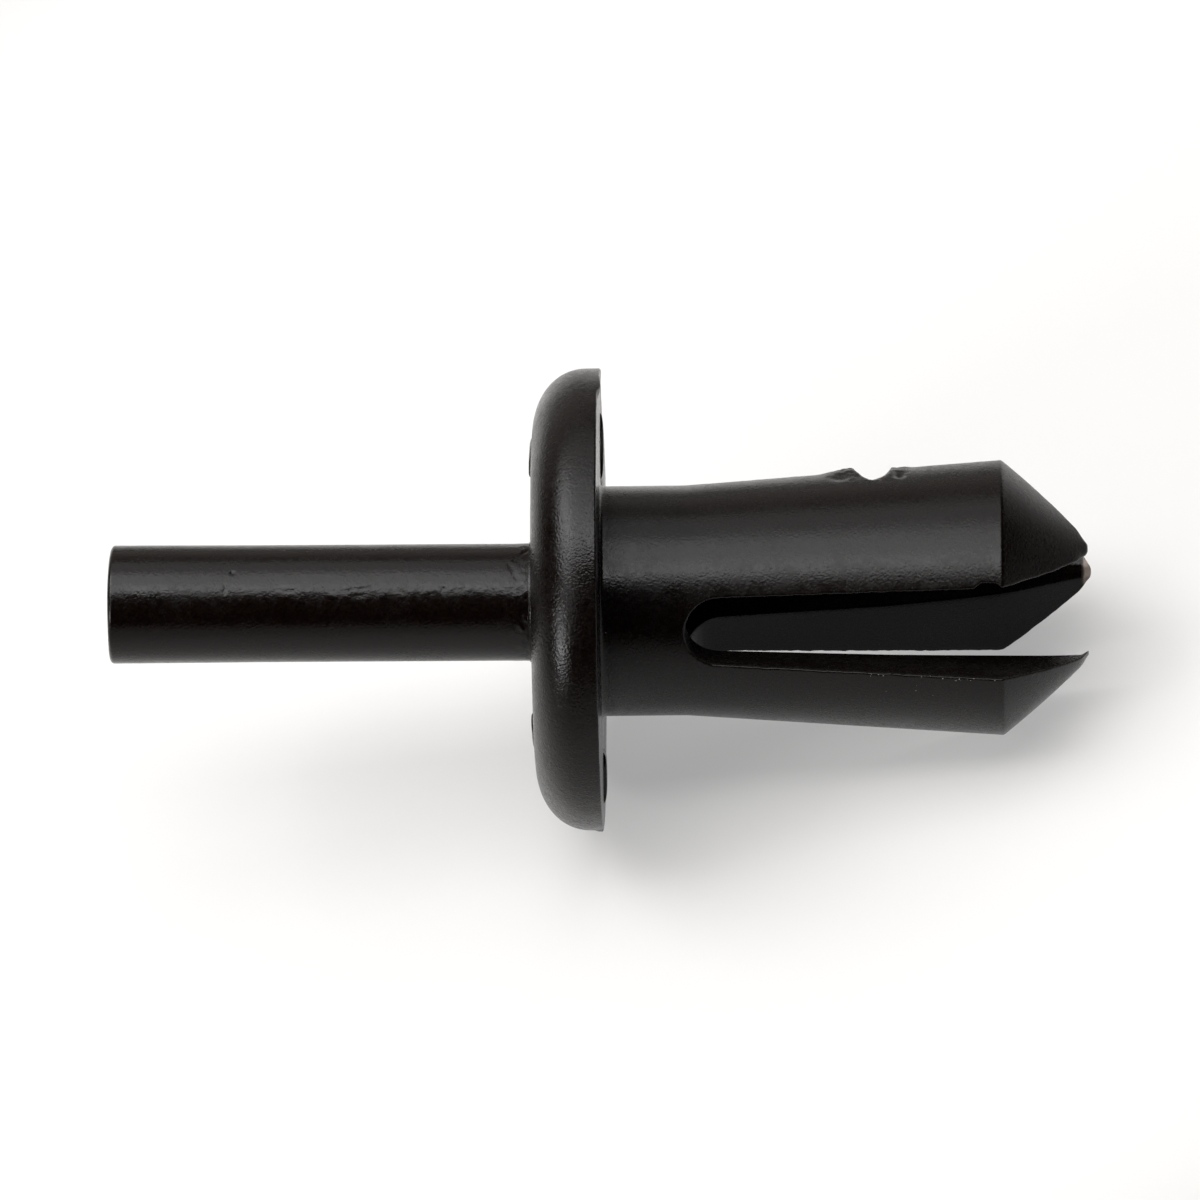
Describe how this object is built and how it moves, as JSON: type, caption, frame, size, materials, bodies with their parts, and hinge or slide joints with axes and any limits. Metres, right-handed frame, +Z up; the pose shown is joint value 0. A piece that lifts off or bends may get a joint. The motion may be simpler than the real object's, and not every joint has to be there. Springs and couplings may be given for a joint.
{
  "type": "plastic push rivet",
  "caption": "Plastic push rivet with a flat round head, a hollow split shank of flared legs with a pointed nose, and a pin that is driven in to lock it in a panel hole.",
  "frame": {"origin": "centre of the head's bearing face, on the rivet's axis, with the rivet lying as it rests on a flat surface", "axes": "+Z up; +X level, towards the leg tips, with the rivet's axis in the XZ plane and sloping down to the tips; the uppermost leg points up and the slot opposite it faces down"},
  "size_m": [0.0254, 0.012, 0.0117],
  "materials": {
    "body_plastic": "satin, lightly mottled",
    "pin_plastic": "satin, lightly scuffed"
  },
  "bodies": {
    "rivet": {"rivet_body": "body_plastic"},
    "pin": {"drive_pin": "pin_plastic"}
  },
  "joints": [
    {"name": "pin_drive", "type": "slide", "parent": "rivet", "child": "pin", "axis": [0.9698, 0, -0.2441], "range_m": [0, 0.01105]}
  ]
}
